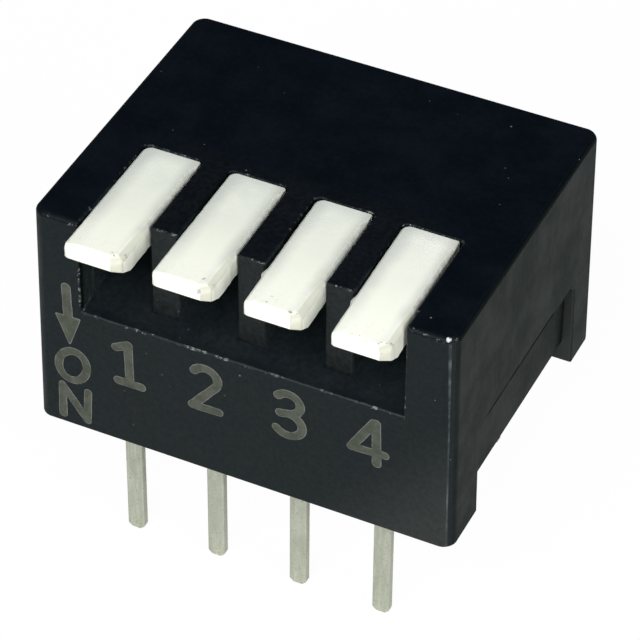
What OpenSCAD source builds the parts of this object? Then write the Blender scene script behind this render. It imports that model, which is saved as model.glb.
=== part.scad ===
// Piano-style DIP switch: a black housing on a moulded base, a row of white side-actuated
// levers, and one changeover of slider, wiping contact and two terminals behind each lever.
// X runs along the row of levers, -Y is the side that the levers stick out of, +Z is up.
// The origin is the centre of the pin field on the seating plane (the circuit board's top face).
// All sizes are in millimetres. Every lever is drawn raised, which is its OFF position.

/* [Positions] */
// Number of levers
positions = 4; // [2:1:8]
// Spacing of the levers and of the pins along the row
pitch = 2.54; // [2.5:0.01:4]
// Distance between the two rows of pins
row_spacing = 7.62; // [7:0.01:7.8]

/* [Housing] */
// Depth of the housing from front to back, at the seating plane
body_d = 9.78; // [9.5:0.01:13]
// Height of the housing above the seating plane
body_h = 7.26; // [7.1:0.01:10]
// Thickness of the end walls beside the outermost levers
end_wall = 1.545; // [1.3:0.005:3]
// Thickness of the front and rear walls
long_wall = 0.66; // [0.4:0.01:0.7]
// Thickness of the top over the mechanism
top_wall = 0.84; // [0.7:0.01:1]
// How far each end leans in over the full height
end_draft = 0.11; // [0:0.01:0.2]
// How far the front and the rear each lean in over the full height
long_draft = 0.03; // [0:0.01:0.15]
// Radius of the upright corners
corner_r = 0.4; // [0.2:0.01:0.5]
// Radius of the edges round the top
top_edge_r = 0.16; // [0.05:0.01:0.2]

/* [Lever recess] */
// Height of the recess's lip above the seating plane
lip_z = 4.2; // [3.6:0.05:4.6]
// Upward slope of the recess's floor, going in
floor_slope = 14; // [0:1:16]
// How far the dividers stand behind the front face
divider_setback = 0.735; // [0.4:0.005:1.2]
// Width of each lever's slot
slot_w = 1.74; // [1.5:0.01:2.1]
// Length of each slot, from the front face to its rear end
slot_len = 3.815; // [3.6:0.005:4.5]
// Step from the recess's side to the outermost slot
recess_step = 0.05; // [0.02:0.01:0.2]
// Radius of the slots' rear corners
slot_corner_r = 0.15; // [0.1:0.01:0.4]

/* [Levers] */
// Angle that a lever turns through, from OFF to ON
lever_travel = 16; // [8:1:16]
// How far a lever's nose stands out of the front face
nose_out = 0.95; // [0.4:0.01:1.6]
// Thickness of a lever's plate
plate_t = 0.73; // [0.5:0.01:0.9]
// Height of the flat front of a lever's nose
nose_h = 0.37; // [0.3:0.01:0.45]
// Length of the slope under a lever's nose
nose_slope_l = 0.66; // [0.3:0.01:0.9]
// Radius of the nose's top edge
nose_r = 0.2; // [0.05:0.01:0.25]
// Radius of the nose's upright corners
nose_corner_r = 0.2; // [0.05:0.01:0.3]
// Radius of the pivot pins on each side of a lever
trunnion_r = 0.45; // [0.3:0.01:0.5]
// Depth of the pivot below the housing's top face
pivot_drop = 1.51; // [1.45:0.01:1.6]
// Radius of a lever's hub round its pivot
hub_r = 1.35; // [1.2:0.01:1.4]
// Distance from the pivot to the centre of the foot's round tip
foot_reach = 1.85; // [1.75:0.01:1.9]
// Radius of the foot's round tip
foot_tip_r = 0.24; // [0.15:0.01:0.26]

/* [Sliders and contacts] */
// Length of a slider
slider_l = 2.4; // [2.1:0.05:2.6]
// Height of the pocket for the contact, above the base's deck
pocket_h = 0.45; // [0.35:0.01:0.5]
// Distance between a contact's two feet
feet_span = 1; // [0.9:0.01:1.1]
// Thickness of a contact
contact_t = 0.1; // [0.05:0.01:0.12]

/* [Base and terminals] */
// Height of the underside of the base above the seating plane
standoff = 0.74; // [0.4:0.01:1]
// Height of the deck that the contacts slide on
deck_z = 2.95; // [2.6:0.01:2.96]
// Front end of the cut in each end wall, from the centre
cut_front = 3.17; // [2.8:0.01:3.3]
// Rear end of the cut in each end wall, from the centre
cut_rear = 3.45; // [2.8:0.01:3.5]
// How far the base's ends stand inside the housing's ends
tab_inset = 0.295; // [0.1:0.005:0.4]
// Width of a pin
pin_w = 0.51; // [0.4:0.01:0.7]
// Thickness of the terminals' strip metal
strip_t = 0.25; // [0.2:0.01:0.3]
// Width of a terminal where it lies in the deck
strip_w = 0.9; // [0.7:0.01:1.1]
// Length of a pin below the seating plane
pin_l = 4.25; // [2.5:0.01:5]
// Chamfer on the two corners of a pin's tip
pin_chamfer = 0.12; // [0.05:0.01:0.18]

/* [Clearances] */
// Between a lever and each side of its slot
lever_gap = 0.05; // [0.02:0.01:0.1]
// Between a slider and each side of its channel
slider_gap = 0.04; // [0.02:0.01:0.1]
// Between a pivot pin and its bearing, on the radius
pivot_gap = 0.04; // [0.02:0.01:0.08]
// Between parts that slide on each other
slide_gap = 0.02; // [0.01:0.01:0.04]
// Between the base and the housing round it
base_gap = 0.02; // [0.01:0.01:0.05]

/* [Hidden] */

$fn = 32;
// Overlap that lets a cut run past the face it opens
over = 1;
// Overlap that leaves no skin between two cuts that meet
skin = 0.01;
// Sides of each rounded corner or edge that nothing turns in
arc_steps = 6;

// Housing
row_l = (positions - 1) * pitch + slot_w;
body_l = row_l + 2 * end_wall;
divider_w = pitch - slot_w;
front_y = -body_d / 2;
divider_y = front_y + divider_setback;
slot_rear_y = front_y + slot_len;
ceiling_z = body_h - top_wall;
cavity_d = body_d - 2 * long_wall;
// How far the cut for the recess and the slots reaches out of the front face
recess_reach = 2;
// The corner posts are as thick as this beside the base
post_wall = 0.75;
pocket_l = body_l - 2 * post_wall;
// Chamfer in the two upper corners of the cut in each end wall
cut_chamfer = 0.3;
// Nibs on the long walls that the base snaps past
nib_l = 1.2;
nib_out = 0.1;
nib_h = 0.35;

// Pivot, in the plane across the row
// Distance from the slots' rear end back to the pivot
pivot_setback = 0.375;
pivot_y = slot_rear_y + pivot_setback;
pivot_z = body_h - pivot_drop;
bearing_r = trunnion_r + pivot_gap;
// Gap left between the ends of two neighbouring pivot pins
trunnion_end_gap = 0.24;
trunnion_l = (divider_w - trunnion_end_gap) / 2 + lever_gap;
// The bearing pockets in the end walls are as deep as one lever's share of a divider
end_pocket = divider_w / 2;
// The bearing posts start this far down in the base and end this far below the pivot
post_root = 0.5;
post_drop = 0.06;

// Levers
lever_w = slot_w - 2 * lever_gap;
nose_y = front_y - nose_out;
plate_z = body_h - plate_t;
// Gap behind a lever's plate, and length of the web under it
plate_rear_gap = 0.03;
web_l = 1.45;
plate_rear_y = slot_rear_y - plate_rear_gap;
web_front_y = plate_rear_y - web_l;
foot_w = 1;
foot_neck_w = 0.4;
// Height of the hub's top above the pivot, and its gap below the ceiling
hub_gap = 0.07;
hub_top = ceiling_z - pivot_z - hub_gap;

// Sliders: the mean position is under the pivot
slider_w = slot_w - 2 * slider_gap;
slider_shift = foot_reach * sin(lever_travel / 2);
slider_top_z = pivot_z - hub_r - slide_gap;
slider_off_y = pivot_y - slider_shift;
notch_floor_z = pivot_z - foot_reach - foot_tip_r - 2 * slide_gap;
notch_w = 2 * (foot_tip_r + slide_gap);
notch_flare = 0.1;
notch_mouth_w = notch_w + 2 * notch_flare;
pocket_w = 1.3;
pocket_len = 1.7;
// Gap in front of a slider in its OFF position
slider_end_gap = 0.09;
sill_rear_y = slider_off_y - slider_l / 2 - slider_end_gap;

// Contacts and terminals
contact_w = 1.2;
contact_slit_w = 0.2;
contact_slit_y = 0.3;
contact_gap = 0.01;
bridge_half_l = 0.22;
toe_l = 0.24;
toe_rise = 0.18;
foot_z = contact_t / 2 + contact_gap;
// How far the front and the rear strip reach past the middle of the feet's travel
front_strip_over = 0.12;
rear_strip_over = 0.23;
front_strip_end_y = pivot_y + slider_shift - feet_span / 2 + front_strip_over;
rear_strip_end_y = pivot_y - slider_shift + feet_span / 2 + rear_strip_over;

// Where lever number i stands along the row, from 1 at the left
function place(i) = (i - (positions + 1) / 2) * pitch;

// Height of the recess's floor at depth y
function floor_z(y) = lip_z + (y - front_y) * tan(floor_slope);

// Points on an arc of radius r about c, from angle a to angle b
function arc(c, r, a, b) = [
    for (k = [0 : arc_steps])
        let (t = a + k * (b - a) / arc_steps)
        c + r * [cos(t), sin(t)]
];

// Extrudes a (y, z) outline along X, about x = 0
module across(w) {
    rotate([90, 0, 90]) linear_extrude(w, center = true) children();
}

// Rectangle from y = front to y = rear, w wide, with round corners: radius rf in front, rr behind
module round_rect(w, front, rear, rf, rr) {
    polygon(concat(
        arc([w / 2 - rf, front + rf], rf, -90, 0),
        arc([w / 2 - rr, rear - rr], rr, 0, 90),
        arc([-w / 2 + rr, rear - rr], rr, 90, 180),
        arc([-w / 2 + rf, front + rf], rf, 180, 270)
    ));
}

// Upright outline of the housing, w wide at its foot: each side leans in by draft over the full
// height, and the top edges are round
module drafted_outline(w, draft) {
    lean = atan2(draft, body_h);
    r = top_edge_r;
    // Centre of the round edge, which touches both the leaning side and the top
    edge = [w / 2 - (body_h - r) * tan(lean) - r / cos(lean), body_h - r];
    right = concat([[w / 2, 0]], arc(edge, r, lean, 90));
    left = [for (k = [len(right) - 1 : -1 : 0]) [-right[k][0], right[k][1]]];
    polygon(concat(right, left));
}

// Width of the housing's foot between two parallel sides that face angle a from the Y axis
function foot_width(a) = 2 * corner_r
    + (body_l - 2 * corner_r) * abs(sin(a))
    + (body_d - 2 * corner_r) * abs(cos(a));

// Outside of the housing: what is common to drafted slabs turned in steps from the long sides,
// round the corners, to the ends
module body_block() {
    intersection_for (k = [0 : 2 * arc_steps - 1]) {
        a = k * 90 / arc_steps;
        rotate([0, 0, a]) across(2 * body_l)
            drafted_outline(foot_width(a), end_draft * abs(sin(a)) + long_draft * abs(cos(a)));
    }
}

// Everything in front of depth y and above the recess's floor, w wide
module above_floor(w, y) {
    across(w) polygon([
        [front_y - recess_reach, floor_z(front_y - recess_reach)],
        [y, floor_z(y)],
        [y, body_h + over],
        [front_y - recess_reach, body_h + over]
    ]);
}

// One lever's slot, open to the front and the top, with round rear corners
module lever_slot() {
    intersection() {
        above_floor(slot_w, slot_rear_y);
        linear_extrude(body_h + 2 * over)
            round_rect(slot_w, front_y - recess_reach, slot_rear_y, slot_corner_r, slot_corner_r);
    }
}

// One lever's channel inside, from the deck to the ceiling
module channel() {
    translate([-slot_w / 2, sill_rear_y, deck_z - over])
        cube([slot_w, cavity_d / 2 - sill_rear_y, ceiling_z - deck_z + over]);
}

// Upright slot with a round top that takes a bearing post and a pivot pin
module bearing_cut(w) {
    across(w) {
        translate([pivot_y - bearing_r, deck_z - over])
            square([2 * bearing_r, pivot_z - deck_z + over]);
        translate([pivot_y, pivot_z]) circle(bearing_r);
    }
}

// Outline of the cut in an end wall, seen along X, drawn in by gap on every side
module end_cut(gap) {
    polygon([
        [-cut_front + gap, -over],
        [-cut_front + gap, deck_z - cut_chamfer - gap],
        [-cut_front + cut_chamfer + gap, deck_z - gap],
        [cut_rear - cut_chamfer - gap, deck_z - gap],
        [cut_rear - gap, deck_z - cut_chamfer - gap],
        [cut_rear - gap, -over]
    ]);
}

// Wedge on the inside of a long wall, under the base's edge
module snap_nib() {
    across(nib_l) polygon([
        [0, standoff - slide_gap],
        [-nib_out, standoff - slide_gap],
        [0, standoff - slide_gap - nib_h]
    ]);
}

module housing() {
    color("#16191c") {
        difference() {
            body_block();
            // Room for the base, open below
            translate([-pocket_l / 2, -cavity_d / 2, -over])
                cube([pocket_l, cavity_d, deck_z + over]);
            across(body_l + over) end_cut(0);
            // The wide recess in front of the dividers
            above_floor(row_l + 2 * recess_step, divider_y);
            for (i = [1 : positions])
                translate([place(i), 0, 0]) {
                    lever_slot();
                    channel();
                }
            for (i = [1 : positions - 1])
                translate([place(i) + pitch / 2, 0, 0]) bearing_cut(divider_w + 2 * skin);
            for (side = [-1, 1])
                translate([side * (row_l / 2 + end_pocket / 2 - skin), 0, 0])
                    bearing_cut(end_pocket + 2 * skin);
        }
        for (i = [1 : positions - 1])
            translate([place(i) + pitch / 2, 0, 0]) {
                translate([0, cavity_d / 2, 0]) snap_nib();
                mirror([0, 1, 0]) translate([0, cavity_d / 2, 0]) snap_nib();
            }
    }
}

// Bearing post that stands on the deck and cradles the pivot pins from below
module bearing_post(w) {
    post_w = 2 * (bearing_r - base_gap);
    difference() {
        translate([-w / 2, pivot_y - post_w / 2, deck_z - post_root])
            cube([w, post_w, pivot_z - post_drop - deck_z + post_root]);
        translate([0, pivot_y, pivot_z])
            rotate([0, 90, 0]) cylinder(r = bearing_r, h = w + over, center = true);
    }
}

module base() {
    color("#1b1e21") difference() {
        union() {
            translate([-pocket_l / 2 + base_gap, -cavity_d / 2 + base_gap, standoff])
                cube([pocket_l - 2 * base_gap, cavity_d - 2 * base_gap, deck_z - standoff]);
            intersection() {
                across(body_l - 2 * tab_inset) end_cut(2 * base_gap);
                translate([-body_l, -body_d, standoff]) cube([2 * body_l, 2 * body_d, body_h]);
            }
            for (i = [1 : positions - 1])
                translate([place(i) + pitch / 2, 0, 0]) bearing_post(divider_w - 2 * base_gap);
            for (side = [-1, 1])
                translate([side * (row_l / 2 + end_pocket / 2), 0, 0])
                    bearing_post(end_pocket - 2 * base_gap);
        }
        for (i = [1 : positions])
            translate([place(i), 0, 0]) {
                front_terminal_shape();
                rear_terminal_shape();
            }
    }
}

// Outline of a lever's plate: flat top, round nose and the slope under it
module plate_outline() {
    polygon(concat(
        [
            [plate_rear_y, body_h],
            [plate_rear_y, plate_z],
            [nose_y + nose_slope_l, plate_z],
            [nose_y, body_h - nose_h]
        ],
        arc([nose_y + nose_r, body_h - nose_r], nose_r, 180, 90)
    ));
}

// Outline of the web that carries a lever's plate on its hub
module web_outline() {
    polygon([
        [pivot_y - hub_r, pivot_z],
        [web_front_y, plate_z],
        [web_front_y, plate_z + plate_t / 2],
        [plate_rear_y, plate_z + plate_t / 2],
        [plate_rear_y, pivot_z]
    ]);
}

// Outline of a lever's hub, (y, z) from the pivot: a disc under a roof-shaped top, which stays
// clear of the ceiling when the lever is pressed
module hub_outline() {
    ridge_y = hub_top * (1 - cos(lever_travel)) / sin(lever_travel);
    eaves_y = 2 * hub_r;
    intersection() {
        circle(hub_r);
        polygon([
            [-eaves_y, -eaves_y],
            [eaves_y, -eaves_y],
            [eaves_y, hub_top - (eaves_y - ridge_y) * tan(lever_travel)],
            [ridge_y, hub_top],
            [-eaves_y, hub_top]
        ]);
    }
}

// The foot, hanging from the pivot along -Z: a neck with a round tip
module foot() {
    across(foot_w) {
        translate([-foot_neck_w / 2, -foot_reach]) square([foot_neck_w, foot_reach - hub_r / 2]);
        translate([0, -foot_reach]) circle(foot_tip_r);
    }
}

module lever(i) {
    color("#efeee4") translate([place(i), 0, 0]) {
        intersection() {
            across(lever_w) {
                plate_outline();
                web_outline();
            }
            linear_extrude(body_h + over)
                round_rect(lever_w, nose_y, plate_rear_y, nose_corner_r, slot_corner_r);
        }
        translate([0, pivot_y, pivot_z]) {
            across(lever_w) hub_outline();
            rotate([-lever_travel / 2, 0, 0]) foot();
            rotate([0, 90, 0])
                cylinder(r = trunnion_r, h = lever_w + 2 * trunnion_l, center = true);
        }
    }
}

module slider(i) {
    color("#e4e2d6") translate([place(i), slider_off_y, 0]) difference() {
        translate([-slider_w / 2, -slider_l / 2, deck_z + slide_gap])
            cube([slider_w, slider_l, slider_top_z - deck_z - slide_gap]);
        // Notch for the lever's foot, flared at its mouth
        across(slider_w + over) polygon([
            [-notch_w / 2, notch_floor_z],
            [notch_w / 2, notch_floor_z],
            [notch_w / 2, notch_floor_z + notch_w / 2],
            [notch_mouth_w / 2, slider_top_z + skin],
            [-notch_mouth_w / 2, slider_top_z + skin],
            [-notch_w / 2, notch_floor_z + notch_w / 2]
        ]);
        // Pocket for the moving contact, open below
        translate([-pocket_w / 2, -pocket_len / 2, deck_z - over])
            cube([pocket_w, pocket_len, pocket_h + over]);
    }
}

// Flat bar of the contact's thickness from p to q in the (y, z) plane, with round ends
module bar(p, q) {
    d = q - p;
    translate(p) {
        circle(contact_t / 2);
        rotate(atan2(d[1], d[0])) translate([0, -contact_t / 2]) square([norm(d), contact_t]);
    }
    translate(q) circle(contact_t / 2);
}

// Half of the contact's side view: arched bridge, leg, wiping foot and turned-up toe
module contact_half() {
    bridge = [bridge_half_l, pocket_h - contact_t / 2];
    foot = [feet_span / 2, foot_z];
    toe = foot + [toe_l, toe_rise];
    bar([0, bridge[1]], bridge);
    bar(bridge, foot);
    bar(foot, toe);
}

module moving_contact(i) {
    color("#c8a34c") translate([place(i), slider_off_y, deck_z]) difference() {
        across(contact_w) {
            contact_half();
            mirror([1, 0]) contact_half();
        }
        // Slits that split each end into two fingers
        for (side = [-1, 1])
            translate([-contact_slit_w / 2, side > 0 ? contact_slit_y : -contact_slit_y - over, -over])
                cube([contact_slit_w, over, 2 * over]);
    }
}

// A terminal as if on the front row: pin, bend and the strip that lies in the deck up to end_y
module terminal_shape(end_y) {
    pin_y = -row_spacing / 2;
    outer_y = pin_y - strip_t / 2;
    inner_y = pin_y + strip_t / 2;
    under_z = deck_z - strip_t;
    // Pin, chamfered at its tip
    translate([0, inner_y, 0]) rotate([90, 0, 0]) linear_extrude(strip_t) polygon([
        [-pin_w / 2, under_z],
        [-pin_w / 2, -pin_l + pin_chamfer],
        [-pin_w / 2 + pin_chamfer, -pin_l],
        [pin_w / 2 - pin_chamfer, -pin_l],
        [pin_w / 2, -pin_l + pin_chamfer],
        [pin_w / 2, under_z]
    ]);
    // Bend from the pin into the strip
    across(pin_w) intersection() {
        translate([inner_y, under_z]) circle(strip_t);
        translate([outer_y, under_z]) square(strip_t);
    }
    translate([-pin_w / 2, inner_y, under_z]) cube([pin_w, strip_t, strip_t]);
    translate([-strip_w / 2, inner_y + strip_t, under_z])
        cube([strip_w, end_y - inner_y - strip_t, strip_t]);
}

module front_terminal_shape() {
    terminal_shape(front_strip_end_y);
}

module rear_terminal_shape() {
    mirror([0, 1, 0]) terminal_shape(-rear_strip_end_y);
}

module front_terminal(i) {
    color("#c6c7b6") translate([place(i), 0, 0]) front_terminal_shape();
}

module rear_terminal(i) {
    color("#c6c7b6") translate([place(i), 0, 0]) rear_terminal_shape();
}

housing();
base();
for (i = [1 : positions]) {
    lever(i);
    slider(i);
    moving_contact(i);
    front_terminal(i);
    rear_terminal(i);
}
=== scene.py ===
"""Looks for a four-position piano-style DIP switch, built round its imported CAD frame.

Everything stands in the CAD's own frame: X runs along the row of levers, -Y is the front that the
levers stick out of, and Z is up, with the circuit board's top face at zero. Meshes are worked out
in millimetres and handed over in metres.
"""

import math
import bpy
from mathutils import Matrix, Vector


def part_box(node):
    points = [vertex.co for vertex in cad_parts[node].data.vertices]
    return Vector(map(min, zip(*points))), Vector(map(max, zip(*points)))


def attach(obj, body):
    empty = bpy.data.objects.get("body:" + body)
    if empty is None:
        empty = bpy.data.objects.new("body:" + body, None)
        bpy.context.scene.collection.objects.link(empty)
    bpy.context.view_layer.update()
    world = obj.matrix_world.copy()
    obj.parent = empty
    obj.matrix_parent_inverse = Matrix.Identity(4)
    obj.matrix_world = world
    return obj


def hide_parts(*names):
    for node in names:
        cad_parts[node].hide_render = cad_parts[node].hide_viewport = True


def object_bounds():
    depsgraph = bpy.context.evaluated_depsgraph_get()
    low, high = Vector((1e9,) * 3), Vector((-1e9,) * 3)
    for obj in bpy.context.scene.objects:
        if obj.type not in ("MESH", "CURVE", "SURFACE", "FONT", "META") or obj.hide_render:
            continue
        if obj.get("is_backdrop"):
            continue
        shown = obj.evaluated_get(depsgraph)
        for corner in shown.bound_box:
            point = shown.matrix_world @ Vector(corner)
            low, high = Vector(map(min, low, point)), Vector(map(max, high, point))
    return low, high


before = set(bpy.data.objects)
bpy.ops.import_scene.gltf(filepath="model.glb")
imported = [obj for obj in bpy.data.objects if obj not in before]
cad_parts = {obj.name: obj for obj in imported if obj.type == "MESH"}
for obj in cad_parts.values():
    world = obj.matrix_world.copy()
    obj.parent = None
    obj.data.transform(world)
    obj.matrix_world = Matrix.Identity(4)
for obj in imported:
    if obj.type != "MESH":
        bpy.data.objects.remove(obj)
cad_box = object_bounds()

from types import SimpleNamespace

import bmesh
import bpy
from mathutils import Matrix, Vector, geometry, noise

MM = 0.001
TO_MM = Matrix.Scale(1 / MM, 4)
TO_METRES = Matrix.Scale(MM, 4)
LEVERS = sorted(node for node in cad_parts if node.startswith("lever_"))

# Camera: where it stands, seen from the middle of the pin field
VIEW_AZIMUTH = math.radians(25.11)
VIEW_ELEVATION = math.radians(40.96)
VIEW_ROLL = math.radians(0.56)
VIEW_DISTANCE = 96.85 * MM
VIEW_LENS = 194.36
# Where the middle of the picture lies, to the right of and above the middle of the pin field
AIM_RIGHT = 0.05 * MM
AIM_UP = 1.46 * MM

# Corners of a CAD mesh that are this near to each other are one
WELD = 1e-4
# Faces that meet at less than this are one flat face
FLAT_BELOW = math.radians(0.3)
# Faces that meet at less than this are one smooth surface
SMOOTH_BELOW = math.radians(25)
# A Mix node's places for its two colours and for their mix
COLOR_1, COLOR_2, MIXED = 6, 7, 2
# Widest rounding of sharp edges, in this many steps
HOUSING_EDGE = 0.05
BASE_EDGE = 0.03
PIN_EDGE = 0.035
EDGE_STEPS = 3
# Material slot of the rounded edges while their piece is being made
ROUNDED = 1


def smooth(t):
    """Runs smoothly from nothing to one while t does."""
    t = min(max(t, 0), 1)
    return t * t * (3 - 2 * t)


def millimetre_box(node):
    low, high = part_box(node)
    return low / MM, high / MM


# ---------------------------------------------------------------- meshes

def close_slivers(work):
    """Removes faces of no width, by putting their middle corner on their long side."""
    for _ in range(8):
        split = set()
        for face in work.faces[:]:
            longest = max(face.edges, key=lambda e: e.calc_length())
            if longest in split or face.calc_area() > WELD * longest.calc_length():
                continue
            corner = next(v for v in face.verts if v not in longest.verts)
            start = longest.verts[0]
            along = (corner.co - start.co).length / longest.calc_length()
            part, added = bmesh.utils.edge_split(longest, start, min(along, 0.999))
            added.co = corner.co
            split |= {longest, part}
        if not split:
            return
        bmesh.ops.remove_doubles(work, verts=work.verts, dist=WELD)


def cad_mesh(node):
    """A CAD node's mesh in millimetres, with its seams closed and its flat faces in one piece."""
    work = bmesh.new()
    work.from_mesh(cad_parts[node].data)
    work.transform(TO_MM)
    bmesh.ops.remove_doubles(work, verts=work.verts, dist=WELD)
    close_slivers(work)
    bmesh.ops.dissolve_limit(work, angle_limit=FLAT_BELOW, verts=work.verts, edges=work.edges)
    return work


def add_piece(name, work, body, slot, material, replaces=(), bevel=0.0, inspect=None):
    """Turns a mesh in millimetres into a piece. Edges with a bevel weight are rounded first, and
    inspect, which marks the mesh, finds the faces this makes by their material slot."""
    mesh = bpy.data.meshes.new(name)
    work.to_mesh(mesh)
    work.free()
    for stale in [a.name for a in mesh.attributes if a.name.startswith("custom_normal")]:
        mesh.attributes.remove(mesh.attributes[stale])
    mesh.shade_smooth()
    mesh.set_sharp_from_angle(angle=SMOOTH_BELOW)
    mesh.materials.clear()
    mesh.materials.append(material)
    mesh.materials.append(material)
    piece = bpy.data.objects.new(name, mesh)
    bpy.context.scene.collection.objects.link(piece)
    if bevel:
        rounding = piece.modifiers.new("rounding", "BEVEL")
        rounding.width = bevel
        rounding.segments = EDGE_STEPS
        rounding.limit_method = "WEIGHT"
        rounding.use_clamp_overlap = False
        rounding.material = ROUNDED
    normals = piece.modifiers.new("normals", "WEIGHTED_NORMAL")
    normals.keep_sharp = True
    bpy.context.view_layer.update()
    graph = bpy.context.evaluated_depsgraph_get()
    finished = bpy.data.meshes.new_from_object(piece.evaluated_get(graph))
    finished.name = name
    piece.modifiers.clear()
    piece.data = finished
    bpy.data.meshes.remove(mesh)
    if inspect:
        inspect(finished)
    finished.polygons.foreach_set("material_index", [0] * len(finished.polygons))
    finished.materials.pop()
    finished.transform(TO_METRES)
    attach(piece, body)
    if replaces:
        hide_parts(*replaces)


def outside_faces(work):
    """The faces that no part of the mesh stands in front of."""
    points = [v.co for v in work.verts]
    slack = 2e-3
    found = set()
    for face in work.faces:
        reach = face.normal.dot(face.verts[0].co)
        if all(face.normal.dot(p) < reach + slack for p in points):
            found.add(face)
    return found


def weigh_edges(work, chosen, full):
    """Sets the bevel weight of the chosen sharp edges, less where a face beside one is too narrow
    for the full rounding."""
    weight = work.edges.layers.float.new("bevel_weight_edge")
    for edge in work.edges:
        if len(edge.link_faces) != 2 or not chosen(edge):
            continue
        if edge.calc_face_angle() < SMOOTH_BELOW:
            continue
        narrower = min(face.calc_area() for face in edge.link_faces) / edge.calc_length()
        edge[weight] = min(1, 0.4 * narrower / full)


# ---------------------------------------------------------------- paint

class Paint:
    """Builds one node material with short calls."""

    def __init__(self, name):
        self.material = bpy.data.materials.new(name)
        self.material.use_nodes = True
        self.tree = self.material.node_tree
        self.shader = self.tree.nodes["Principled BSDF"]
        place = self.node("ShaderNodeTexCoord").outputs["Object"]
        self.place = self.scaled(place, 1 / MM)

    def node(self, kind, **settings):
        made = self.tree.nodes.new(kind)
        for name, value in settings.items():
            setattr(made, name, value)
        return made

    def put(self, socket, value):
        if isinstance(value, bpy.types.NodeSocket):
            self.tree.links.new(value, socket)
        elif isinstance(value, tuple) and len(value) == 3 and socket.type == "RGBA":
            socket.default_value = (*value, 1)
        else:
            socket.default_value = value

    def vector_maths(self, operation, first, second):
        made = self.node("ShaderNodeVectorMath", operation=operation)
        self.put(made.inputs[0], first)
        self.put(made.inputs[1], second)
        return made.outputs["Value" if operation == "DISTANCE" else "Vector"]

    def scaled(self, vector, factor):
        """A vector times one number, or times three numbers."""
        factors = factor if isinstance(factor, tuple) else (factor,) * 3
        return self.vector_maths("MULTIPLY", vector, factors)

    def moved(self, vector, offset):
        return self.vector_maths("ADD", vector, offset)

    def maths(self, operation, *values):
        made = self.node("ShaderNodeMath", operation=operation)
        for socket, value in zip(made.inputs, values):
            self.put(socket, value)
        return made.outputs[0]

    def times(self, *values):
        total = values[0]
        for value in values[1:]:
            total = self.maths("MULTIPLY", total, value)
        return total

    def noise(self, scale, detail=3.0, rough=0.55, vector=None):
        made = self.node("ShaderNodeTexNoise")
        self.put(made.inputs["Vector"], vector or self.place)
        made.inputs["Scale"].default_value = scale
        made.inputs["Detail"].default_value = detail
        made.inputs["Roughness"].default_value = rough
        return made.outputs["Fac"]

    def step(self, value, start, end, low=0.0, high=1.0):
        """Runs smoothly from low to high while value runs from start to end."""
        made = self.node("ShaderNodeMapRange", interpolation_type="SMOOTHSTEP")
        for socket, number in zip(made.inputs, (value, start, end, low, high)):
            self.put(socket, number)
        return made.outputs["Result"]

    def near(self, value, centre, far, close):
        """One where value is at most close away from centre, and nothing from far away on."""
        away = self.maths("ABSOLUTE", self.maths("SUBTRACT", value, centre))
        return self.step(away, far, close)

    def blend(self, amount, first, second):
        made = self.node("ShaderNodeMix", data_type="RGBA")
        self.put(made.inputs["Factor"], amount)
        self.put(made.inputs[COLOR_1], first)
        self.put(made.inputs[COLOR_2], second)
        return made.outputs[MIXED]

    def split(self, vector):
        made = self.node("ShaderNodeSeparateXYZ")
        self.put(made.inputs[0], vector)
        return made.outputs

    def attribute(self, name):
        return self.node("ShaderNodeAttribute", attribute_name=name).outputs["Fac"]

    def normal(self):
        """The size of the surface normal's three parts."""
        facing = self.node("ShaderNodeNewGeometry").outputs["Normal"]
        made = self.node("ShaderNodeVectorMath", operation="ABSOLUTE")
        self.put(made.inputs[0], facing)
        return self.split(made.outputs[0])

    def specks(self, cells, radius, share):
        """Scattered round specks: share of the cells of a grid hold one, radius in cells."""
        made = self.node("ShaderNodeTexVoronoi")
        self.put(made.inputs["Vector"], self.place)
        made.inputs["Scale"].default_value = cells
        near = self.step(made.outputs["Distance"], radius, 0.6 * radius)
        lucky = self.step(self.split(made.outputs["Color"])[0], share, 0.9 * share)
        return self.times(near, lucky)

    def bump(self, *layers):
        """Height layers in millimetres, as (height from 0 to 1, size)."""
        normal = None
        for height, size in layers:
            made = self.node("ShaderNodeBump")
            made.inputs["Distance"].default_value = size * MM
            self.put(made.inputs["Height"], height)
            if normal:
                self.put(made.inputs["Normal"], normal)
            normal = made.outputs[0]
        self.put(self.shader.inputs["Normal"], normal)

    def set(self, **sockets):
        for name, value in sockets.items():
            self.put(self.shader.inputs[name.replace("_", " ")], value)
        return self.material


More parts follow.
